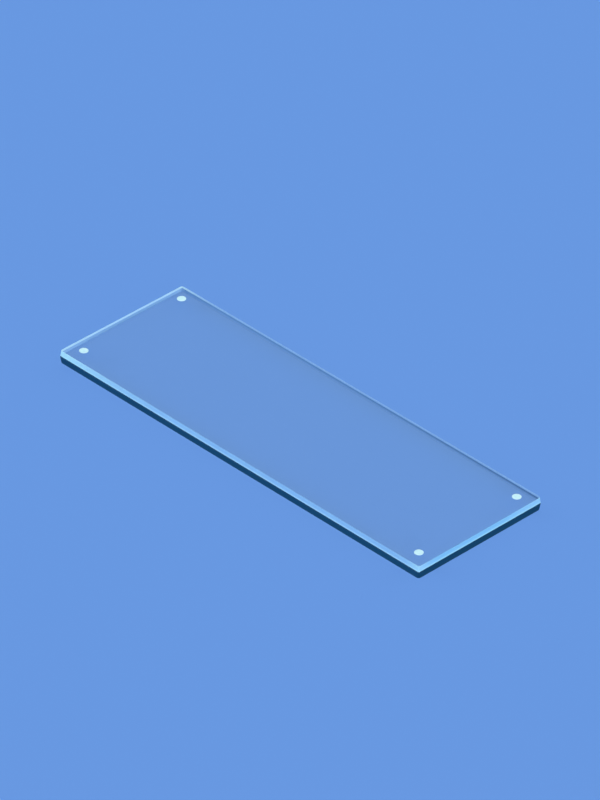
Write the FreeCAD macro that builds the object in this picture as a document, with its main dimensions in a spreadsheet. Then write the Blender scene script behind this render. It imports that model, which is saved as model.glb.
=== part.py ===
# Microscope slide: a clear glass plate with ground edges, and four round white
# registration dots fired onto its upper face, one near each corner.
#
# Frame: millimetres, X along the slide, Y across it, +Z up. The origin is the centre
# of the underside, the face that lies on a stage or a table.
import FreeCAD, Part
import math
import os

import Sketcher

# Driving dimensions: alias, value in millimetres, meaning.
SIZES = [
    ("plate_length", 75.0, "overall length, at the ridge of the ground edges"),
    ("plate_width", 25.0, "overall width, at the ridge of the ground edges"),
    ("plate_thickness", 2.16, "height from the underside to the upper face"),
    ("ridge_depth", 0.02, "how far the mid-height ridge stands out past the edges' rims"),
    ("ridge_corner_radius", 0.08, "rounding of the four upright corners, at the ridge"),
    ("face_corner_radius", 0.4, "rounding of the same corners, at the two faces"),
    ("arris", 0.04, "45 degree chamfer between an edge's rim and a face"),
    ("dot_diameter", 1.4, "width of a registration dot"),
    ("dot_height", 0.06, "how far a dot stands up from the glass"),
    ("dot_rim_radius", 0.03, "rounding of a dot's upper rim"),
    ("dot_inset", 2.5, "a dot's centre from each of its two nearest edges"),
]

# Node name of each dot, with the signs of its place along X and Y.
DOTS = [
    ("dot_front_left", -1, -1),
    ("dot_front_right", 1, -1),
    ("dot_back_left", -1, 1),
    ("dot_back_right", 1, 1),
]

# The plate's level outlines, from its underside up: name, height, how far each side lies
# inside the ridge, and the corners' radius, all as expressions on the spreadsheet. A rim
# is where a chamfer meets the edge, so its corners are wider than the face's by an arris.
FACE_INSET = "Sizes.ridge_depth + Sizes.arris"
FACE_RADIUS = "Sizes.face_corner_radius"
RIM_INSET = "Sizes.ridge_depth"
RIM_RADIUS = "Sizes.face_corner_radius + Sizes.arris"
OUTLINES = [
    ("underside", "0", FACE_INSET, FACE_RADIUS),
    ("lower_rim", "Sizes.arris", RIM_INSET, RIM_RADIUS),
    ("ridge", "Sizes.plate_thickness / 2", "0", "Sizes.ridge_corner_radius"),
    ("upper_rim", "Sizes.plate_thickness - Sizes.arris", RIM_INSET, RIM_RADIUS),
    ("upper_face", "Sizes.plate_thickness", FACE_INSET, FACE_RADIUS),
]

OUTPUT_FOLDER = "parts"
LEVEL_TOLERANCE = 1e-6
# The sketcher's numbers for the points of a line or an arc, and for the sketch's origin.
START, END, CENTRE = 1, 2, 3
SKETCH_ORIGIN = -1


def make_sheet(doc):
    """The spreadsheet that holds every driving dimension under its alias."""
    sheet = doc.addObject("Spreadsheet::Sheet", "Sizes")
    for row, (alias, value, meaning) in enumerate(SIZES, start=1):
        sheet.set(f"A{row}", alias)
        sheet.set(f"B{row}", str(value))
        sheet.setAlias(f"B{row}", alias)
        sheet.set(f"C{row}", meaning)
    doc.recompute()
    return sheet


def make_body(doc, node):
    """An empty body, labelled with the name of its file."""
    body = doc.addObject("PartDesign::Body", node)
    body.Label = node
    return body


def make_sketch(body, name):
    """A sketch on the body's own XY plane."""
    sketch = body.newObject("Sketcher::SketchObject", name)
    plane = next(f for f in body.Origin.OriginFeatures if f.Role == "XY_Plane")
    sketch.AttachmentSupport = [(plane, "")]
    sketch.MapMode = "FlatFace"
    return sketch


def drive(sketch, name, constraint, expression):
    """Adds a named dimension to the sketch and ties it to the spreadsheet."""
    index = sketch.addConstraint(constraint)
    sketch.renameConstraint(index, name)
    sketch.setExpression(f"Constraints.{name}", expression)


def level_edges(feature, height):
    """The names of a feature's edges that lie wholly at one height."""
    names = []
    for number, edge in enumerate(feature.Shape.Edges, start=1):
        box = edge.BoundBox
        if max(abs(box.ZMin - height), abs(box.ZMax - height)) < LEVEL_TOLERANCE:
            names.append(f"Edge{number}")
    return names


def draw_outline(sketch, sheet, inset, radius):
    """A rectangle with rounded corners, centred: the plate's full outline less an inset on
    each side. It is drawn near its size, and the expressions then set it exactly."""
    near_radius = sheet.face_corner_radius
    half_x, half_y = sheet.plate_length / 2, sheet.plate_width / 2
    inner_x, inner_y = half_x - near_radius, half_y - near_radius

    # Anticlockwise from the front side, each side followed by the corner at its end.
    sides = [
        ((-inner_x, -half_y), (inner_x, -half_y)),
        ((half_x, -inner_y), (half_x, inner_y)),
        ((inner_x, half_y), (-inner_x, half_y)),
        ((-half_x, inner_y), (-half_x, -inner_y)),
    ]
    corners = [(inner_x, -inner_y), (inner_x, inner_y), (-inner_x, inner_y), (-inner_x, -inner_y)]
    quarter = math.pi / 2
    lines, arcs = [], []
    for index, (side, corner) in enumerate(zip(sides, corners)):
        ends = [FreeCAD.Vector(x, y, 0) for x, y in side]
        lines.append(sketch.addGeometry(Part.LineSegment(*ends), False))
        circle = Part.Circle(FreeCAD.Vector(*corner, 0), FreeCAD.Vector(0, 0, 1), near_radius)
        arc = Part.ArcOfCircle(circle, (index - 1) * quarter, index * quarter)
        arcs.append(sketch.addGeometry(arc, False))

    for index, arc in enumerate(arcs):
        following = lines[(index + 1) % len(lines)]
        sketch.addConstraint(Sketcher.Constraint("Tangent", lines[index], END, arc, START))
        sketch.addConstraint(Sketcher.Constraint("Tangent", arc, END, following, START))
    for front_or_back in (lines[0], lines[2]):
        sketch.addConstraint(Sketcher.Constraint("Horizontal", front_or_back))
    for left_or_right in (lines[1], lines[3]):
        sketch.addConstraint(Sketcher.Constraint("Vertical", left_or_right))
    for arc in arcs[1:]:
        sketch.addConstraint(Sketcher.Constraint("Equal", arcs[0], arc))
    sketch.addConstraint(
        Sketcher.Constraint("Symmetric", arcs[0], CENTRE, arcs[2], CENTRE, SKETCH_ORIGIN, START)
    )

    along = Sketcher.Constraint("DistanceX", lines[3], START, lines[1], START, 2 * half_x)
    across = Sketcher.Constraint("DistanceY", lines[0], START, lines[2], START, 2 * half_y)
    corner = Sketcher.Constraint("Radius", arcs[0], near_radius)
    drive(sketch, "Length", along, f"Sizes.plate_length - 2 * ({inset})")
    drive(sketch, "Width", across, f"Sizes.plate_width - 2 * ({inset})")
    drive(sketch, "Corner", corner, radius)


def make_plate(doc, sheet):
    """The glass plate, lofted in straight runs through its outlines. Each ground edge is a
    shallow V with its crest at half height, between two small chamfers, and the corners are
    crisp at the crest and rounder at the faces."""
    body = make_body(doc, "glass_plate")
    sections = []
    for name, height, inset, radius in OUTLINES:
        sketch = make_sketch(body, f"{name}_outline")
        draw_outline(sketch, sheet, inset, radius)
        sketch.setExpression("AttachmentOffset.Base.z", height)
        sections.append(sketch)
    doc.recompute()

    plate = body.newObject("PartDesign::AdditiveLoft", "plate")
    plate.Profile = sections[0]
    plate.Sections = sections[1:]
    plate.Ruled = True
    return body


def make_dot(doc, node, sign_x, sign_y):
    """One registration dot: a thin round disc with a softened upper rim, standing on the
    plate's upper face near a corner."""
    body = make_body(doc, node)
    sketch = make_sketch(body, f"{node}_outline")
    circle = Part.Circle(FreeCAD.Vector(0, 0, 0), FreeCAD.Vector(0, 0, 1), 1)
    ring = sketch.addGeometry(circle, False)
    sketch.addConstraint(Sketcher.Constraint("Coincident", ring, CENTRE, SKETCH_ORIGIN, START))
    drive(sketch, "Diameter", Sketcher.Constraint("Diameter", ring, 2), "Sizes.dot_diameter")

    disc = body.newObject("PartDesign::Pad", f"{node}_disc")
    disc.Profile = sketch
    disc.setExpression("Length", "Sizes.dot_height")
    doc.recompute()

    rim = body.newObject("PartDesign::Fillet", f"{node}_rim")
    rim.Base = (disc, level_edges(disc, disc.Length.Value))
    rim.setExpression("Radius", "Sizes.dot_rim_radius")

    body.setExpression("Placement.Base.x", f"{sign_x} * (Sizes.plate_length / 2 - Sizes.dot_inset)")
    body.setExpression("Placement.Base.y", f"{sign_y} * (Sizes.plate_width / 2 - Sizes.dot_inset)")
    body.setExpression("Placement.Base.z", "Sizes.plate_thickness")
    return body


def check_document(doc, bodies):
    """Stops the script if any object failed to recompute or any body has no valid solid."""
    failed = [o.Label for o in doc.Objects if {"Invalid", "Error"} & set(o.State)]
    if failed:
        raise RuntimeError(f"failed to recompute: {', '.join(failed)}")
    for body in bodies:
        shape = body.Shape
        if shape.isNull() or not shape.isValid() or len(shape.Solids) != 1:
            raise RuntimeError(f"{body.Label} is not one valid solid")


def export(bodies):
    """Writes each body to a file named after its label, and prints its size."""
    os.makedirs(OUTPUT_FOLDER, exist_ok=True)
    for body in bodies:
        body.Shape.exportStep(f"{OUTPUT_FOLDER}/{body.Label}.step")
        box = body.Shape.optimalBoundingBox(False)
        print(
            f"{body.Label}: {box.XLength:.3f} x {box.YLength:.3f} x {box.ZLength:.3f} mm,"
            f" from z = {box.ZMin:.3f}, {body.Shape.Volume:.4f} mm3"
        )


def main():
    doc = FreeCAD.newDocument("MicroscopeSlide")
    sheet = make_sheet(doc)
    bodies = [make_plate(doc, sheet)]
    for node, sign_x, sign_y in DOTS:
        bodies.append(make_dot(doc, node, sign_x, sign_y))
    doc.recompute()
    check_document(doc, bodies)
    export(bodies)


main()
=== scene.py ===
"""Looks of a microscope slide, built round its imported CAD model.

The slide is one clear glass plate with ground edges, and four white enamel dots fired onto
its upper face. Both are modelled here as finer meshes that stand for the CAD nodes of the
same place and size. Lengths are in metres, in the frame of the CAD model: X along the
slide, Y across it, +Z up, with the origin at the centre of the underside.
"""

from __future__ import annotations

import logging
import math
from dataclasses import dataclass
from enum import Enum, IntEnum, StrEnum

import bmesh
import bpy
import numpy as np
from mathutils import Matrix, Vector

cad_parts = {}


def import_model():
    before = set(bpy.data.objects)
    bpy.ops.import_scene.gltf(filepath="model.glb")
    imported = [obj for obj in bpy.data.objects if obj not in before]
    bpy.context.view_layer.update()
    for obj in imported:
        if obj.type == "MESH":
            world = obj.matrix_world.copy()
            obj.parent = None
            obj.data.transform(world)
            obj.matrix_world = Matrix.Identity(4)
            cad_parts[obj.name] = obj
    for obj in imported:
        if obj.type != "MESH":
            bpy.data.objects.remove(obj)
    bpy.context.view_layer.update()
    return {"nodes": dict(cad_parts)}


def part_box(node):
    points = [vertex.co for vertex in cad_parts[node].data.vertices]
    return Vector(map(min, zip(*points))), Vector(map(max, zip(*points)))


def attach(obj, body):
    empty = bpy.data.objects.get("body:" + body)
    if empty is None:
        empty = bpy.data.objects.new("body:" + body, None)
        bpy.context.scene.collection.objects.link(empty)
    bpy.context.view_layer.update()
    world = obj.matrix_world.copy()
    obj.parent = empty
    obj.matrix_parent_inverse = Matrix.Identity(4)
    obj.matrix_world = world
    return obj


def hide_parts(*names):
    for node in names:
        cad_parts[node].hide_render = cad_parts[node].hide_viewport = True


LOG = logging.getLogger("microscope_slide")
MM = 0.001
BODY = "root"
WELD_REACH = 0.0001 * MM
GLASS_INDEX = 1.52
Socket = bpy.types.NodeSocket


# ---------------------------------------------------------------------------
# Colours and shader graphs
# ---------------------------------------------------------------------------


@dataclass(frozen=True)
class Tone:
    """A colour as it shows on a screen.

    Attributes:
        red: its red part, from 0 to 255.
        green: its green part.
        blue: its blue part.
    """

    red: float
    green: float
    blue: float

    def linear(self) -> tuple[float, float, float, float]:
        """The tone as linear light.

        The sRGB curve is a straight line near black and a power of 2.4 above it.

        Returns:
            Red, green, blue and a full alpha, each from 0 to 1.
        """
        shown = np.array([self.red, self.green, self.blue]) / 255
        light = np.where(shown <= 0.04045, shown / 12.92, ((shown + 0.055) / 1.055) ** 2.4)
        return (*(float(x) for x in light), 1.0)


WHITE = Tone(255, 255, 255)


class NoiseRange(Enum):
    """The part of a noise's values, which lie about 0.5, that a pattern spreads over."""

    WIDE = (0.3, 0.7)
    MIDDLE = (0.35, 0.65)
    UPPER = (0.4, 0.7)


class Graph:
    """A node tree, with short calls to add nodes and join them."""

    def __init__(self, tree: bpy.types.NodeTree) -> None:
        """Takes over a tree and empties it."""
        self.tree = tree
        tree.nodes.clear()

    def add(self, kind: str, **inputs: object) -> bpy.types.Node:
        """Adds a node.

        Args:
            kind: Blender's type name of the node.
            inputs: numbers, colours or sockets by input name, with _ for each space.

        Returns:
            The new node.
        """
        node = self.tree.nodes.new(kind)
        for name, value in inputs.items():
            self.feed(value, node.inputs[name.replace("_", " ")])
        return node

    def feed(self, value: object, target: Socket) -> None:
        """Gives an input its value, or joins it to an output.

        Args:
            value: a number, a vector, a tone or an output socket.
            target: the input socket.
        """
        if isinstance(value, Socket):
            self.tree.links.new(value, target)
        else:
            target.default_value = value.linear() if isinstance(value, Tone) else value

    def place(self, stretch: tuple[float, float, float]) -> Socket:
        """The piece's own coordinates, times the pattern units in a metre along each axis."""
        own = self.add("ShaderNodeTexCoord").outputs["Object"]
        return self.add("ShaderNodeMapping", Vector=own, Scale=stretch).outputs["Vector"]

    def height(self) -> Socket:
        """How far above the underside a point of the piece is, in metres."""
        own = self.add("ShaderNodeTexCoord").outputs["Object"]
        return self.add("ShaderNodeSeparateXYZ", Vector=own).outputs["Z"]

    def attribute(self, name: str) -> Socket:
        """A number that the mesh holds at its points.

        Args:
            name: the attribute's name.

        Returns:
            The socket that carries the number.
        """
        node = self.add("ShaderNodeAttribute")
        node.attribute_name = name
        return node.outputs["Fac"]

    def clouds(self, place: Socket, octaves: float) -> Socket:
        """A noise about 0.5, one unit of the place in size, with finer octaves added to it."""
        return self.add("ShaderNodeTexNoise", Vector=place, Scale=1.0, Detail=octaves).outputs["Fac"]

    def remap(self, value: Socket, before: tuple[float, float], after: tuple[float, float]) -> Socket:
        """Carries a value from one range to another along a straight line, clamped.

        Args:
            value: the value to carry over.
            before: the two ends of its range.
            after: what they become.

        Returns:
            The socket that carries the new value.
        """
        node = self.add("ShaderNodeMapRange", Value=value)
        for name, number in zip(("From Min", "From Max", "To Min", "To Max"), before + after):
            node.inputs[name].default_value = number
        return node.outputs["Result"]

    def spread(self, clouds: Socket, part: NoiseRange, ends: tuple[float, float]) -> Socket:
        """A noise that runs from one value to another as it crosses a part of its range."""
        return self.remap(clouds, part.value, ends)

    def calculate(self, operation: str, first: object, second: object) -> Socket:
        """One sum of two values.

        Args:
            operation: Blender's name of the sum.
            first: the first value, a socket or a number.
            second: the second value, a socket or a number.

        Returns:
            The socket that carries the answer.
        """
        node = self.add("ShaderNodeMath")
        node.operation = operation
        self.feed(first, node.inputs[0])
        self.feed(second, node.inputs[1])
        return node.outputs[0]

    def blend(self, share: Socket, first: Tone | Socket, second: Tone | Socket) -> Socket:
        """A colour between two others.

        Args:
            share: how much of the second there is, from 0 to 1.
            first: the colour at 0.
            second: the colour at 1.

        Returns:
            The socket that carries the colour.
        """
        node = self.tree.nodes.new("ShaderNodeMix")
        node.data_type = "RGBA"
        colours = [socket for socket in node.inputs if socket.type == "RGBA"]
        self.feed(share, node.inputs[0])
        self.feed(first, colours[0])
        self.feed(second, colours[1])
        return next(socket for socket in node.outputs if socket.type == "RGBA")

    def ramp(self, value: Socket, stops: dict[float, Tone]) -> Socket:
        """A colour that follows a value through several stops.

        Args:
            value: the value, from 0 to 1.
            stops: the colour at each value, in rising order.

        Returns:
            The socket that carries the colour.
        """
        node = self.add("ShaderNodeValToRGB", Fac=value)
        elements = node.color_ramp.elements
        for _ in range(len(stops) - len(elements)):
            elements.new(0.5)
        for element, (position, tone) in zip(elements, sorted(stops.items())):
            element.position = position
            element.color = tone.linear()
        return node.outputs["Color"]

    def relief(self, height: Socket, depth: float) -> Socket:
        """A normal that shows a relief of heights from 0 to 1, at its depth in metres."""
        return self.add("ShaderNodeBump", Height=height, Distance=depth).outputs["Normal"]

    def mix(self, share: Socket, first: Socket, second: Socket) -> Socket:
        """A shader between two others.

        Args:
            share: how much of the second there is, from 0 to 1.
            first: the shader at 0.
            second: the shader at 1.

        Returns:
            The socket that carries the shader.
        """
        node = self.tree.nodes.new("ShaderNodeMixShader")
        for value, target in zip((share, first, second), node.inputs):
            self.feed(value, target)
        return node.outputs[0]

    def open_to_light(self, shader: Socket, passed: Tone) -> Socket:
        """A shader that light crosses on its way to what lies behind.

        The rays that only carry light, from a lamp or off a matt surface, pass straight on.
        Every ray that is seen still meets the shader.

        Args:
            shader: what is seen.
            passed: what white light becomes as it passes.

        Returns:
            The socket that carries the shader.
        """
        path = self.add("ShaderNodeLightPath").outputs
        window = self.add("ShaderNodeBsdfTransparent", Color=passed).outputs[0]
        for ray in ("Is Diffuse Ray", "Is Shadow Ray"):
            shader = self.mix(path[ray], shader, window)
        return shader

    def finish(self, shader: Socket, output: str = "ShaderNodeOutputMaterial") -> None:
        """Gives the shader to the tree's output."""
        self.add(output, Surface=shader)


def new_material(name: str) -> tuple[bpy.types.Material, Graph]:
    """An empty material.

    Args:
        name: its name.

    Returns:
        The material and the graph of its nodes.
    """
    material = bpy.data.materials.new(name)
    material.use_nodes = True
    return material, Graph(material.node_tree)


# ---------------------------------------------------------------------------
# Finishes
# ---------------------------------------------------------------------------


class PlateField(StrEnum):
    """What the plate's mesh holds at its points for its finishes, from 0 to 1.

    GLOW is how much light is painted on the edge at a corner. ENDWARD is how far the
    edge faces the plate's end. FAR grows along the plate, ever faster, from the -X end to the
    +X end; the edges' inner sides are painted darker along it, as painted shade. CAST is
    how much of the painted shade beside the ground edges the face shows.
    """

    GLOW = "glow"
    ENDWARD = "endward"
    FAR = "far"
    CAST = "edge_shade"


@dataclass(frozen=True)
class PolishedGlass:
    """One of the clear, flat faces of the plate.

    Attributes:
        name: the material's name.
        tint: what white becomes once it has passed two such faces.
        edge_shade: the same where the face shows the whole painted shade beside the ground edges.
        inner_index: the glass's index for rays that have entered it; a lower one mirrors less.
        passed: what white becomes as light falls through the face.
        haze: size of the faint clouds in the polish, in metres.
        haze_roughness: roughness in the clearest and in the dullest of them.
    """

    name: str
    tint: Tone
    edge_shade: Tone
    inner_index: float = GLASS_INDEX
    passed: Tone = Tone(251, 251, 251)
    haze: float = 9 * MM
    haze_roughness: tuple[float, float] = (0.0, 0.02)

    def material(self) -> bpy.types.Material:
        """Clear glass whose polish is not quite even.

        A ray that has entered the glass meets the face with the inner index.

        Returns:
            The material.
        """
        material, graph = new_material(self.name)
        clouds = graph.clouds(graph.place((1 / self.haze,) * 3), octaves=3)
        roughness = graph.spread(clouds, NoiseRange.UPPER, self.haze_roughness)
        # Painted shade: the glass turns darker and less blue beside the ground edges.
        colour = graph.blend(graph.attribute(PlateField.CAST), self.tint, self.edge_shade)

        def glass(index: float) -> Socket:
            """The glass as it is with one index.

            Args:
                index: the index.

            Returns:
                The socket that carries the shader.
            """
            node = graph.add(
                "ShaderNodeBsdfPrincipled",
                Base_Color=colour,
                Roughness=roughness,
                IOR=index,
                Transmission_Weight=1.0,
            )
            return node.outputs["BSDF"]

        entered = graph.add("ShaderNodeLightPath").outputs["Is Transmission Ray"]
        seen = graph.mix(entered, glass(GLASS_INDEX), glass(self.inner_index))
        graph.finish(graph.open_to_light(seen, self.passed))
        return material


@dataclass(frozen=True)
class EdgeTones:
    """The colours of half of a ground edge, from its face to the border with the other half.

    Attributes:
        chamfer: the chamfer beside the face; a darker one is painted shade that evens out the light it
            catches.
        band: the edge past the chamfer.
        border: the same beside the border; a lighter one is a painted highlight.
        corner: the edge's painted glow at full strength, at a corner.
        within_face: the edge's inner side near the face, seen through the glass.
        within_border: its inner side near the border, at the plate's -X end.
        within_border_far_shade: the same at the +X end, darker there as painted shade.
        within_corner_painted_glow: its inner side's painted glow at full strength, at a corner.
    """

    chamfer: Tone
    band: Tone
    border: Tone
    corner: Tone
    within_face: Tone
    within_border: Tone
    within_border_far_shade: Tone
    within_corner_painted_glow: Tone


@dataclass(frozen=True)
class GroundEdge:
    """One half of the plate's ground edge, above or below the ridge: the upper half painted light and
    the lower half painted dark, as lit and shaded copies of one ground glass.

    Attributes:
        name: the material's name.
        sides: colours along the plate's two long sides.
        ends: colours along its two short ends.
        roughness: how matt the grinding left it.
        gloss: strength of its gloss, 0.5 for plain glass.
        passed: what white becomes as light falls through it.
        mark: length and width of one grinding mark, in metres.
        mark_depth: how deep the marks are, in metres.
        mark_roughness: how much the marks raise and lower the roughness.
        patch: length of the slow changes in the painted glow along the edge, in metres.
        patch_painted_glow: how much they raise and lower a corner's painted glow.
        chamfer_reach: where the band's colour begins, in heights of the chamfer.
        band_end: where it begins to turn to the border's, as a share of the way there.
    """

    name: str
    sides: EdgeTones
    ends: EdgeTones
    roughness: float
    gloss: float
    passed: Tone = Tone(252, 253, 254)
    mark: tuple[float, float] = (0.9 * MM, 0.04 * MM)
    mark_depth: float = 0.002 * MM
    mark_roughness: float = 0.08
    patch: float = 2.5 * MM
    patch_painted_glow: float = 0.06
    chamfer_reach: float = 1.3
    band_end: float = 0.6

    def material(self, face: float, border: float, chamfer: float) -> bpy.types.Material:
        """Finely ground glass, with grinding marks that run along the edge.

        Outside it is satin. Its inner side, seen through the glass, is lit by what falls on
        its outer side. The colours of both sides are painted light or painted shade by height,
        with a painted glow at the corners and, on the inner side, painted shade towards +X.

        Args:
            face: height of the face, in metres.
            border: height of the border with the other half, in metres.
            chamfer: height of the chamfer beside the face, in metres.

        Returns:
            The material.
        """
        material, graph = new_material(self.name)
        rise = graph.remap(graph.height(), (face, border), (0.0, 1.0))
        band_start = self.chamfer_reach * chamfer / abs(border - face)
        heights = (0.0, band_start, self.band_end, 1.0)
        # glow is the light painted on the edges at the corners.
        glow = graph.attribute(PlateField.GLOW)
        endward = graph.attribute(PlateField.ENDWARD)
        far = graph.attribute(PlateField.FAR)

        def outer(tones: EdgeTones, share: Socket) -> Socket:
            """The outer side's colour by height, and by its share of a corner's painted glow."""
            colours = (tones.chamfer, tones.band, tones.band, tones.border)
            return graph.blend(share, graph.ramp(rise, dict(zip(heights, colours))), tones.corner)

        def inner(tones: EdgeTones, share: Socket) -> Socket:
            """The inner side's colour by height, and by its share of a corner's painted glow."""
            border = graph.blend(far, tones.within_border, tones.within_border_far_shade)
            return graph.blend(share, graph.blend(rise, tones.within_face, border), tones.within_corner_painted_glow)

        length, width = self.mark
        marks = graph.clouds(graph.place((1 / length, 1 / length, 1 / width)), octaves=4)
        patches = graph.clouds(graph.place((1 / self.patch,) * 3), octaves=2)
        shift = graph.spread(patches, NoiseRange.MIDDLE, (-self.patch_painted_glow, self.patch_painted_glow))
        uneven_painted_glow = graph.calculate("ADD", glow, shift)
        least, most = self.roughness - self.mark_roughness, self.roughness + self.mark_roughness
        # Painted light and shade: the outer colour is painted by height, with the corners' painted
        # glow.
        ground = graph.add(
            "ShaderNodeBsdfPrincipled",
            Base_Color=graph.blend(endward, outer(self.sides, uneven_painted_glow), outer(self.ends, uneven_painted_glow)),
            Roughness=graph.spread(marks, NoiseRange.WIDE, (least, most)),
            IOR=GLASS_INDEX,
            Specular_IOR_Level=self.gloss,
            Normal=graph.relief(marks, self.mark_depth),
        )
        # Painted shade towards the +X end on the inner side, where the corners' painted glow also fades
        # out.
        near_painted_glow = graph.calculate("MULTIPLY", glow, graph.calculate("SUBTRACT", 1.0, far))
        within = graph.add(
            "ShaderNodeBsdfTranslucent",
            Color=graph.blend(endward, inner(self.sides, near_painted_glow), inner(self.ends, near_painted_glow)),
        )
        inner_side = graph.add("ShaderNodeNewGeometry").outputs["Backfacing"]
        seen = graph.mix(inner_side, ground.outputs["BSDF"], within.outputs["BSDF"])
        graph.finish(graph.open_to_light(seen, self.passed))
        return material


@dataclass(frozen=True)
class FiredEnamel:
    """The white enamel of a registration dot.

    Attributes:
        body: the enamel's colour.
        thin: its colour in the faint patches where it was laid thinner.
        patch: size of such a patch, in metres.
        peel: size of the fired surface's ripples, in metres.
        peel_depth: how deep the ripples are, in metres.
        roughness: roughness in the hollows and on the tops of the ripples.
        coat: strength of the glaze over the enamel.
        coat_roughness: its roughness.
    """

    body: Tone = Tone(206, 247, 255)
    thin: Tone = Tone(193, 238, 253)
    patch: float = 0.35 * MM
    peel: float = 0.08 * MM
    peel_depth: float = 0.003 * MM
    roughness: tuple[float, float] = (0.3, 0.45)
    coat: float = 0.3
    coat_roughness: float = 0.2

    def material(self) -> bpy.types.Material:
        """Satin enamel with faint patches and a fine orange-peel relief.

        Returns:
            The material.
        """
        material, graph = new_material("fired_enamel")
        patches = graph.clouds(graph.place((1 / self.patch,) * 3), octaves=2)
        ripples = graph.clouds(graph.place((1 / self.peel,) * 3), octaves=1)
        thinner = graph.spread(patches, NoiseRange.MIDDLE, (0.0, 1.0))
        enamel = graph.add(
            "ShaderNodeBsdfPrincipled",
            Base_Color=graph.blend(thinner, self.body, self.thin),
            Roughness=graph.spread(ripples, NoiseRange.WIDE, self.roughness),
            Normal=graph.relief(ripples, self.peel_depth),
            Coat_Weight=self.coat,
            Coat_Roughness=self.coat_roughness,
        )
        graph.finish(enamel.outputs["BSDF"])
        return material


@dataclass(frozen=True)
class StudioPaper:
    """The plain matt ground that the slide lies on.

    Attributes:
        colour: the ground's colour.
    """

    colour: Tone

    def material(self) -> bpy.types.Material:
        """A matt coat of one colour, without gloss.

        Returns:
            The material.
        """
        material, graph = new_material("studio_paper")
        graph.finish(graph.add("ShaderNodeBsdfDiffuse", Color=self.colour).outputs["BSDF"])
        return material


# ---------------------------------------------------------------------------
# Surfaces
# ---------------------------------------------------------------------------


@dataclass(frozen=True)
class Patch:
    """A part of a surface, as a net of points with a quad in each mesh of the net.

    Attributes:
        places: the points, as rows x columns x 3. A quad's front is on the side from which
            the way along its rows, then up its columns, turns anticlockwise.
        slots: material slot of each strip between two rows.
        closed: True if the last column is joined to the first.
    """

    places: np.ndarray
    slots: np.ndarray
    closed: bool

    def quads(self) -> np.ndarray:
        """The quads: point [i, j] with [i, j + 1], [i + 1, j + 1] and [i + 1, j].

        Returns:
            The numbers of the corners within the patch, as quads x 4.
        """
        rows, columns = self.places.shape[:2]
        index = np.arange(rows * columns).reshape(rows, columns)
        if self.closed:
            index = np.hstack([index, index[:, :1]])
        near, far = index[:-1], index[1:]
        corners = (near[:, :-1], near[:, 1:], far[:, 1:], far[:, :-1])
        return np.stack(corners, axis=-1).reshape(-1, 4)


def welded(name: str, patches: list[Patch]) -> bpy.types.Object:
    """A smooth closed surface, welded from patches whose borders lie on each other.

    Points that share a place become one, so that a row that lies in one point closes to a
    pole and its quads to triangles.

    Args:
        name: the new object's name.
        patches: the patches that close the surface between them.

    Returns:
        The object, linked to the scene.
    """
    points = [patch.places.reshape(-1, 3) for patch in patches]
    starts = np.cumsum([0, *(len(part) for part in points[:-1])])
    quads = [patch.quads() for patch in patches]
    faces = np.vstack([part + start for part, start in zip(quads, starts)])
    slots = [np.repeat(p.slots, len(q) // len(p.slots)) for p, q in zip(patches, quads)]

    mesh = bpy.data.meshes.new(name)
    mesh.from_pydata(np.vstack(points), [], faces.tolist())
    mesh.polygons.foreach_set("material_index", np.concatenate(slots).astype(np.int32))
    mesh.polygons.foreach_set("use_smooth", np.ones(len(faces), bool))
    form = bmesh.new()
    form.from_mesh(mesh)
    bmesh.ops.remove_doubles(form, verts=form.verts, dist=WELD_REACH)
    form.to_mesh(mesh)
    form.free()
    piece = bpy.data.objects.new(name, mesh)
    bpy.context.scene.collection.objects.link(piece)
    return piece


def eased(points: np.ndarray, reach: float, steps: int) -> np.ndarray:
    """A line of points with its inner corners rounded.

    Each corner P is replaced by the curve (1 - t)^2 A + 2 t (1 - t) P + t^2 B, where A and
    B lie the reach before and after P on its two runs.

    Args:
        points: the line's points, one in each row.
        reach: how far the rounding of a corner reaches along its runs.
        steps: how many points each rounding gets.

    Returns:
        The rounded line's points, one in each row.
    """
    corner = points[1:-1]

    def towards(other: np.ndarray) -> np.ndarray:
        """The places on the runs to the other points where the rounding ends."""
        run = other - corner
        return (corner + run * (reach / np.linalg.norm(run, axis=1))[:, None])[:, None]

    t = np.linspace(0, 1, steps)[None, :, None]
    start, end = towards(points[:-2]), towards(points[2:])
    curves = (1 - t) ** 2 * start + 2 * t * (1 - t) * corner[:, None] + t**2 * end
    return np.vstack([points[:1], curves.reshape(-1, points.shape[1]), points[-1:]])


class PlateSlot(IntEnum):
    """The material slots of the glass plate."""

    UPPER_FACE = 0
    UPPER_EDGE = 1
    LOWER_EDGE = 2
    UNDERSIDE = 3


@dataclass(frozen=True)
class PaintedCornerGlow:
    """Where light is painted on the edges at a corner of the plate, and how far along them it shows.

    Attributes:
        end: 1 for the +X end and -1 for the other.
        side: 1 for the +Y side and -1 for the other.
        strength: how bright the painted glow is, from 0 to 1.
        fade: distance in which the glow falls to about a third, in metres.
        squareness: how suddenly it falls there; 1 is an even fade.
    """

    end: int
    side: int
    strength: float
    fade: float
    squareness: float = 1.0

    def at(self, flat: np.ndarray, half: np.ndarray) -> np.ndarray:
        """The painted glow of points: strength times e^(-(distance / fade)^squareness).

        Args:
            flat: X and Y of the points, in the last axis.
            half: half the plate's length and width.

        Returns:
            The glow of each point.
        """
        corner = half * (self.end, self.side)
        distance = np.linalg.norm(flat - corner, axis=-1)
        return self.strength * np.exp(-((distance / self.fade) ** self.squareness))


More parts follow.
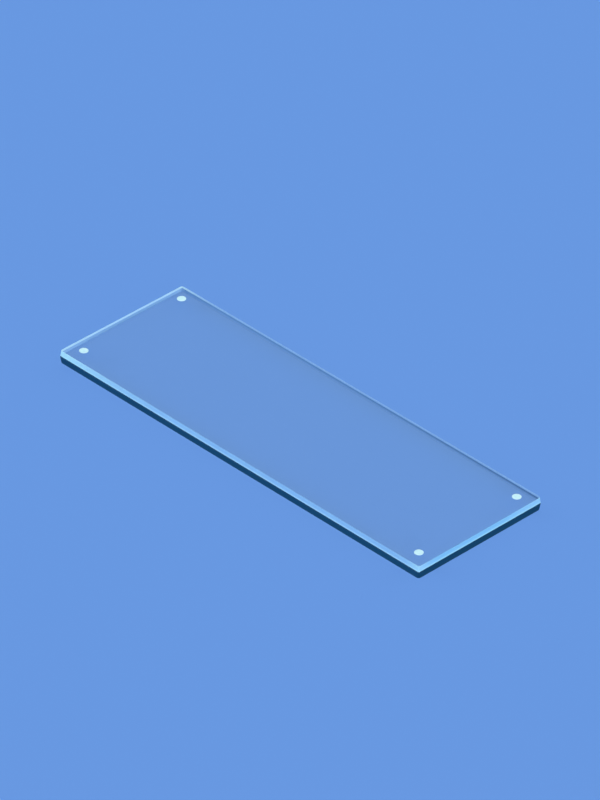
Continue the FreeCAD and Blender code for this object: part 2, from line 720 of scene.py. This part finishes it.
@dataclass
class GlassPlate:
    """The slide itself: a clear glass plate whose ground edges form a shallow V.

    Attributes:
        low: lowest corner of the CAD node.
        high: highest corner of the CAD node.
        ridge_depth: how far the ridge stands out past the edge's rims.
        ridge_corner_radius: rounding of the upright corners, at the ridge.
        face_corner_radius: rounding of the same corners, at the two faces.
        arris: chamfer between a rim and its face.
        softening: reach of the small rounding at each crease.
        softening_steps: points round it.
        border_rise: how far above the ridge the edge's two finishes meet, the painted light above and
            the painted shade below.
        corner_steps: points round a corner.
        side_steps: spans along a side.
        edge_shade_fade: distance in which the painted shade beside the edges falls to about a third.
        end_edge_shade: the painted shade beside the two short ends, as a share of the long sides'.
        painted_glows: the corners where light is painted on the edges.
    """

    low: Vector
    high: Vector
    ridge_depth: float = 0.02 * MM
    ridge_corner_radius: float = 0.08 * MM
    face_corner_radius: float = 0.4 * MM
    arris: float = 0.04 * MM
    softening: float = 0.012 * MM
    softening_steps: int = 5
    border_rise: float = 0.1 * MM
    corner_steps: int = 9
    side_steps: int = 40
    edge_shade_fade: float = 1.7 * MM
    end_edge_shade: float = 0.3
    painted_glows: tuple[PaintedCornerGlow, ...] = (
        PaintedCornerGlow(end=-1, side=-1, strength=1.0, fade=9 * MM),
        PaintedCornerGlow(end=1, side=-1, strength=0.55, fade=2.2 * MM, squareness=2),
        PaintedCornerGlow(end=1, side=1, strength=0.28, fade=6.2 * MM, squareness=4),
        PaintedCornerGlow(end=-1, side=1, strength=0.8, fade=3.5 * MM),
    )

    @property
    def half(self) -> np.ndarray:
        """Half the plate's length and width."""
        return np.array([self.high.x - self.low.x, self.high.y - self.low.y]) / 2

    @property
    def border(self) -> float:
        """Height at which the edge's two finishes meet: the painted light above, the painted shade
        below.
        """
        return (self.low.z + self.high.z) / 2 + self.border_rise

    @property
    def net_inset(self) -> float:
        """How far inside the ridge's outline the flat nets of the two faces begin."""
        return self.ridge_depth + self.arris + self.face_corner_radius

    def section(self) -> np.ndarray:
        """The edge's section, from the underside up to the upper face.

        It comes out along the underside to the chamfer, over it to the lower rim and out to
        the ridge. The upper half is the lower half turned over. One more point lies on the
        border of the two finishes, the painted light and the painted shade.

        Returns:
            For each point, how far it lies inside the ridge's outline, its height and the
            corners' radius there.
        """
        thickness = self.high.z - self.low.z
        face = self.ridge_depth + self.arris
        margin = 2 * self.softening
        lower = np.array(
            [
                [face + margin, 0.0, self.face_corner_radius - margin],
                [face, 0.0, self.face_corner_radius],
                [self.ridge_depth, self.arris, self.face_corner_radius + self.arris],
                [0.0, thickness / 2, self.ridge_corner_radius],
            ]
        )
        upper = lower[-2::-1] * (1, -1, 1) + (0, thickness, 0)
        edge = eased(np.vstack([lower, upper]), self.softening, self.softening_steps)
        border = self.border - self.low.z
        crossing = [np.interp(border, edge[:, 1], column) for column in edge.T]
        edge = np.insert(edge, np.searchsorted(edge[:, 1], border), crossing, axis=0)
        net = [self.net_inset, 0.0, 0.0]
        return np.vstack([net, edge, [self.net_inset, thickness, 0.0]]) + (0, self.low.z, 0)

    def ways_round(self, inset: np.ndarray, radius: np.ndarray) -> np.ndarray:
        """Level ways round the plate, anticlockwise from above.

        A corner's points lie on a quarter circle. A side's points lie at shares
        (1 - cos(pi t)) / 2 of its length, which crowds them towards the corners.

        Args:
            inset: how far each way lies inside the ridge's outline.
            radius: the radius of its corners.

        Returns:
            X and Y of the points, as ways x points x 2.
        """
        reach = self.half - (inset + radius)[:, None]
        turn = np.linspace(0, math.pi / 2, self.corner_steps)
        t = np.linspace(0, 1, self.side_steps + 1)[1:-1, None]
        along = (1 - np.cos(math.pi * t)) / 2
        signs = np.array([[1, 1], [-1, 1], [-1, -1], [1, -1]])
        stretches = []
        for quarter, sign in enumerate(signs):
            angle = turn + quarter * math.pi / 2
            circle = radius[:, None, None] * np.stack([np.cos(angle), np.sin(angle)], axis=1)
            corner = (sign * reach)[:, None] + circle
            following = (signs[(quarter + 1) % 4] * reach)[:, None] + circle[:, -1:]
            side = corner[:, -1:] + (following - corner[:, -1:]) * along
            stretches += [corner, side]
        return np.concatenate(stretches, axis=1)

    def face_net(self, level: float, up: bool) -> Patch:
        """The flat net of a face, whose border meets the inner end of the edge's section.

        Its lines lie at -cos(pi k / n) times the reach, where the points of the sides are.

        Args:
            level: the face's height.
            up: True if its front is its upper side.

        Returns:
            The net.
        """
        reach = self.half - self.net_inset
        line = -np.cos(math.pi * np.linspace(0, 1, self.side_steps + 1))
        x, y = np.meshgrid(line * reach[0], line * reach[1] * (1 if up else -1))
        places = np.stack([x, y, np.full_like(x, level)], axis=-1)
        slot = PlateSlot.UPPER_FACE if up else PlateSlot.UNDERSIDE
        return Patch(places, np.full(self.side_steps, slot), closed=False)

    def edge_band(self) -> Patch:
        """The edge, with the strip of each face that is beside it.

        Returns:
            The band.
        """
        inset, height, radius = self.section().T
        flat = self.ways_round(inset, radius)
        level = np.broadcast_to(height[:, None, None], (*flat.shape[:2], 1))
        rise = np.diff(height)
        upper = height[:-1] + rise / 2 > self.border
        edge = np.where(upper, PlateSlot.UPPER_EDGE, PlateSlot.LOWER_EDGE)
        face = np.where(upper, PlateSlot.UPPER_FACE, PlateSlot.UNDERSIDE)
        slots = np.where(rise < WELD_REACH, face, edge)
        return Patch(np.concatenate([flat, level], axis=2), slots, closed=True)

    def endward(self, flat: np.ndarray) -> np.ndarray:
        """How far the edge turns at a corner, as a share: 0 on a side and 1 on an end."""
        past = np.clip(np.abs(flat) - (self.half - self.net_inset), 0, None)
        return np.arctan2(past[..., 0], past[..., 1]) / (math.pi / 2)

    def far(self, flat: np.ndarray) -> np.ndarray:
        """How far along the plate a point is: the square of its share of the length."""
        return (flat[..., 0] / (2 * self.half[0]) + 0.5) ** 2

    def edge_shade(self, flat: np.ndarray) -> np.ndarray:
        """The painted shade on the faces beside the edges: e^(-distance / fade) from each, with 1 at a
        side.
        """
        inside = self.half - np.abs(flat)
        return np.exp(-inside / self.edge_shade_fade) @ (self.end_edge_shade, 1.0)

    def build(
        self,
        upper_face: PolishedGlass,
        upper_edge: GroundEdge,
        lower_edge: GroundEdge,
        underside: PolishedGlass,
    ) -> bpy.types.Object:
        """Welds the plate from its edge and its two faces, and dresses it.

        Args:
            upper_face: finish of the face on top.
            upper_edge: finish of the edge above the ridge.
            lower_edge: finish of the edge below it.
            underside: finish of the face below.

        Returns:
            The plate.
        """
        faces = [self.face_net(self.low.z, up=False), self.face_net(self.high.z, up=True)]
        plate = welded("clear_plate", [self.edge_band(), *faces])
        points = np.empty(3 * len(plate.data.vertices), np.float32)
        plate.data.vertices.foreach_get("co", points)
        flat = points.reshape(-1, 3)[:, :2]
        fields = {
            PlateField.GLOW: sum(corner.at(flat, self.half) for corner in self.painted_glows),
            PlateField.ENDWARD: self.endward(flat),
            PlateField.FAR: self.far(flat),
            PlateField.CAST: self.edge_shade(flat),
        }
        for name, values in fields.items():
            held = plate.data.attributes.new(name, "FLOAT", "POINT")
            held.data.foreach_set("value", values.astype(np.float32))
        finishes = {
            PlateSlot.UPPER_FACE: upper_face.material(),
            PlateSlot.UPPER_EDGE: upper_edge.material(self.high.z, self.border, self.arris),
            PlateSlot.LOWER_EDGE: lower_edge.material(self.low.z, self.border, self.arris),
            PlateSlot.UNDERSIDE: underside.material(),
        }
        for slot in PlateSlot:
            plate.data.materials.append(finishes[slot])
        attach(plate, BODY)
        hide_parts("glass_plate")
        return plate


@dataclass
class EnamelDot:
    """A registration dot: a low round pad of enamel, fused into the upper face.

    Attributes:
        node: the CAD node that it stands for.
        low: lowest corner of that node.
        high: highest corner of that node.
        seat: how far the enamel goes into the glass.
        shoulder: how square the section is; 2 is an ellipse, and more is flatter.
        around: points in a ring.
        rings: rings from the rim to the crown.
    """

    node: str
    low: Vector
    high: Vector
    seat: float = 0.002 * MM
    shoulder: float = 5.0
    around: int = 64
    rings: int = 16

    def build(self, enamel: bpy.types.Material) -> bpy.types.Object:
        """Turns the dot's section about its axis.

        At a share s of the radius the surface is the height times (1 - s^n)^(1/n), where n
        is the shoulder. The rings crowd towards the rim, where s is the sine of an angle
        that changes evenly.

        Args:
            enamel: the dot's material.

        Returns:
            The dot.
        """
        centre = (self.low + self.high) / 2
        radius = (self.high.x - self.low.x) / 2
        height = self.high.z - self.low.z
        share = np.sin(np.linspace(math.pi / 2, 0, self.rings))
        rise = height * (1 - share**self.shoulder) ** (1 / self.shoulder)
        level = self.low.z + np.concatenate([[-self.seat, -self.seat], rise])
        reach = radius * np.concatenate([[0.0, 1.0], share])
        angle = np.linspace(0, 2 * math.pi, self.around, endpoint=False)
        x = centre.x + reach[:, None] * np.cos(angle)
        y = centre.y + reach[:, None] * np.sin(angle)
        z = np.broadcast_to(level[:, None], x.shape)
        turned = Patch(np.stack([x, y, z], axis=-1), np.zeros(len(reach) - 1, int), closed=True)
        dot = welded(f"enamel_{self.node}", [turned])
        dot.data.materials.append(enamel)
        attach(dot, BODY)
        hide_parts(self.node)
        return dot


# ---------------------------------------------------------------------------
# Studio
# ---------------------------------------------------------------------------


def outward(azimuth: float, elevation: float) -> Vector:
    """The direction to what stands round the slide, at -Y for azimuth 0 and +X for 90."""
    a, e = math.radians(azimuth), math.radians(elevation)
    return Vector((math.sin(a) * math.cos(e), -math.cos(a) * math.cos(e), math.sin(e)))


@dataclass(frozen=True)
class SoftLight:
    """A large soft light far off, as a bright patch of the room.

    Attributes:
        name: what it is called.
        azimuth: where it stands; 0 is on the -Y side and 90 on the +X side, in degrees.
        elevation: how high it stands above the floor, in degrees.
        share: its part of the light on the floor; at 1 a white floor would show as white.
        focus: how narrow it is; 25 makes it about 27 degrees wide.
    """

    name: str
    azimuth: float
    elevation: float
    share: float
    focus: float = 25.0

    def brightness(self, graph: Graph) -> Socket:
        """How bright the room is in each direction.

        It is k times the cosine of the angle from the light's middle, to the power n, which
        is the focus. A level floor gets 2 k sin(elevation) / (n + 2) of it.

        Args:
            graph: the graph of the room.

        Returns:
            The socket that carries the brightness.
        """
        facing = graph.add("ShaderNodeVectorMath")
        facing.label = self.name
        facing.operation = "DOT_PRODUCT"
        graph.feed(graph.add("ShaderNodeTexCoord").outputs["Generated"], facing.inputs[0])
        graph.feed(outward(self.azimuth, self.elevation), facing.inputs[1])
        cosine = graph.calculate("MAXIMUM", facing.outputs["Value"], 0.0)
        slant = math.sin(math.radians(self.elevation))
        most = self.share * (self.focus + 2) / (2 * slant)
        return graph.calculate("MULTIPLY", graph.calculate("POWER", cosine, self.focus), most)


@dataclass(frozen=True)
class Studio:
    """The floor and the room with its lights.

    Attributes:
        paper: finish of the floor.
        floor_side: length of the floor.
        floor_gap: how far the floor lies under the slide, so that they share no plane.
        mirrored: colour of the room as glass and gloss mirror it.
        ambient: part of the floor's light that comes evenly from all round.
        lights: the soft lights.
    """

    paper: StudioPaper
    floor_side: float
    floor_gap: float
    mirrored: Tone
    ambient: float
    lights: tuple[SoftLight, ...]

    def build(self) -> None:
        """Lays the floor and lights the room."""
        half, level = self.floor_side / 2, -self.floor_gap
        corners = [(x * half, y * half, level) for x, y in ((-1, -1), (1, -1), (1, 1), (-1, 1))]
        mesh = bpy.data.meshes.new("studio_floor")
        mesh.from_pydata(corners, [], [(0, 1, 2, 3)])
        mesh.materials.append(self.paper.material())
        floor = bpy.data.objects.new("studio_floor", mesh)
        bpy.context.scene.collection.objects.link(floor)
        self.build_room()

    def build_room(self) -> None:
        """White light from all round, and a room of one colour for the rays that are seen.

        A ray is seen if the camera sent it, or if glass or gloss passed it on before any
        matt surface did. So the glass mirrors a plain room, and not the lights. Ground glass
        scatters light as it passes it on, and a ray from its inner side counts as matt.
        """
        world = bpy.data.worlds.new("studio_room")
        bpy.context.scene.world = world
        world.use_nodes = True
        graph = Graph(world.node_tree)
        path = graph.add("ShaderNodeLightPath").outputs
        passed_on = graph.calculate("MAXIMUM", path["Is Glossy Ray"], path["Is Transmission Ray"])
        direct = graph.calculate("LESS_THAN", path["Diffuse Depth"], 1.0)
        clear = graph.calculate("SUBTRACT", 1.0, path["Is Diffuse Ray"])
        seen = graph.calculate("MULTIPLY", passed_on, graph.calculate("MULTIPLY", direct, clear))

        def glow(colour: Tone, strength: float | Socket) -> Socket:
            """A room of one colour."""
            node = graph.add("ShaderNodeBackground", Color=colour, Strength=strength)
            return node.outputs["Background"]

        strength = self.ambient
        for light in self.lights:
            strength = graph.calculate("ADD", strength, light.brightness(graph))
        lit = glow(WHITE, strength)
        room = graph.mix(seen, lit, glow(self.mirrored, 1.0))
        backdrop = glow(self.paper.colour, 1.0)
        graph.finish(graph.mix(path["Is Camera Ray"], room, backdrop), "ShaderNodeOutputWorld")


@dataclass(frozen=True)
class Viewpoint:
    """The camera, a long lens far off, so that parallel edges stay nearly parallel.

    Attributes:
        azimuth: where it stands; 0 is on the -Y side and 90 on the +X side, in degrees.
        elevation: how high it stands, in degrees.
        roll: how far it leans to its left about its line of sight, in degrees.
        distance: how far it stands from the slide.
        aim_right: how far to the right of the origin it aims.
        aim_up: how far above the origin it aims.
        lens: focal length on a sensor whose long side is 36 mm, in millimetres.
    """

    azimuth: float
    elevation: float
    roll: float
    distance: float
    aim_right: float
    aim_up: float
    lens: float

    def build(self) -> None:
        """Sets up the camera and makes it the scene's."""
        back = outward(self.azimuth, self.elevation)
        level = math.radians(self.azimuth)
        right = Vector((math.cos(level), math.sin(level), 0.0))
        up = back.cross(right)
        lens = bpy.data.cameras.new("camera")
        lens.lens = self.lens
        camera = bpy.data.objects.new("camera", lens)
        bpy.context.scene.collection.objects.link(camera)
        upright = Matrix((right, up, back)).transposed()
        turned = upright @ Matrix.Rotation(math.radians(self.roll), 3, "Z")
        place = back * self.distance + right * self.aim_right + up * self.aim_up
        camera.matrix_world = Matrix.Translation(place) @ turned.to_4x4()
        bpy.context.scene.camera = camera


# ---------------------------------------------------------------------------
# The whole
# ---------------------------------------------------------------------------

# The second tone of each face is painted shade, darker and less blue beside the ground edges.
UPPER_FACE = PolishedGlass(
    name="polished_face",
    tint=Tone(255, 254, 254),
    edge_shade=Tone(254, 249, 243),
)

# Its low inner index keeps the mirror image of the far edges out of the faces.
UNDERSIDE = PolishedGlass(
    name="polished_underside",
    tint=Tone(255, 254, 254),
    edge_shade=Tone(252, 244, 231),
    inner_index=1.2,
)

# Painted light: the upper half of the edge is painted light blue, with a painted highlight beside the
# border;
# its darker chamfer is painted shade that evens out the light it catches.
UPPER_EDGE = GroundEdge(
    name="upper_ground_edge_painted_light",
    sides=EdgeTones(
        chamfer=Tone(104, 150, 206),
        band=Tone(142, 198, 241),
        border=Tone(176, 226, 252),
        corner=Tone(185, 246, 255),
        within_face=Tone(160, 205, 244),
        within_border=Tone(127, 173, 224),
        within_border_far_shade=Tone(113, 160, 212),
        within_corner_painted_glow=Tone(203, 246, 255),
    ),
    ends=EdgeTones(
        chamfer=Tone(94, 146, 204),
        band=Tone(135, 204, 243),
        border=Tone(170, 234, 252),
        corner=Tone(182, 232, 255),
        within_face=Tone(183, 228, 255),
        within_border=Tone(188, 231, 255),
        within_border_far_shade=Tone(183, 227, 252),
        within_corner_painted_glow=Tone(195, 241, 255),
    ),
    roughness=0.5,
    gloss=0.35,
)

# Painted shade: the lower half of the edge is painted dark navy, the shaded copy of the upper half.
LOWER_EDGE = GroundEdge(
    name="lower_ground_edge_painted_shade",
    sides=EdgeTones(
        chamfer=Tone(16, 71, 103),
        band=Tone(16, 71, 102),
        border=Tone(14, 69, 101),
        corner=Tone(15, 70, 104),
        within_face=Tone(129, 171, 218),
        within_border=Tone(73, 131, 184),
        within_border_far_shade=Tone(8, 77, 128),
        within_corner_painted_glow=Tone(90, 142, 198),
    ),
    ends=EdgeTones(
        chamfer=Tone(13, 65, 93),
        band=Tone(13, 65, 93),
        border=Tone(12, 64, 92),
        corner=Tone(13, 66, 95),
        within_face=Tone(125, 173, 213),
        within_border=Tone(134, 184, 230),
        within_border_far_shade=Tone(106, 156, 197),
        within_corner_painted_glow=Tone(152, 200, 242),
    ),
    roughness=0.45,
    gloss=0.15,
)

STUDIO = Studio(
    paper=StudioPaper(Tone(104, 152, 225)),
    floor_side=6.0,
    floor_gap=0.02 * MM,
    mirrored=Tone(145, 181, 209),
    ambient=0.565,
    lights=(
        SoftLight("key", azimuth=-65, elevation=22, share=0.15),
        SoftLight("fill", azimuth=60, elevation=22, share=0.17),
        SoftLight("rim", azimuth=175, elevation=18, share=0.115),
    ),
)

VIEWPOINT = Viewpoint(
    azimuth=45.07,
    elevation=34.8,
    roll=0.94,
    distance=1205 * MM,
    aim_right=0.29 * MM,
    aim_up=5.115 * MM,
    lens=370.7,
)


def main() -> None:
    """Loads the CAD frame and builds the slide, the studio and the camera."""
    logging.basicConfig(level=logging.INFO, format="%(name)s: %(message)s")
    bpy.context.scene.view_settings.view_transform = "Standard"
    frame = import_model()

    plate = GlassPlate(*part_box("glass_plate"))
    pieces = [plate.build(UPPER_FACE, UPPER_EDGE, LOWER_EDGE, UNDERSIDE)]
    enamel = FiredEnamel().material()
    for node in sorted(name for name in frame["nodes"] if name.startswith("dot_")):
        pieces.append(EnamelDot(node, *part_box(node)).build(enamel))
    for piece in pieces:
        LOG.info("%s: %d faces", piece.name, len(piece.data.polygons))

    STUDIO.build()
    VIEWPOINT.build()


if __name__ == "__main__":
    main()
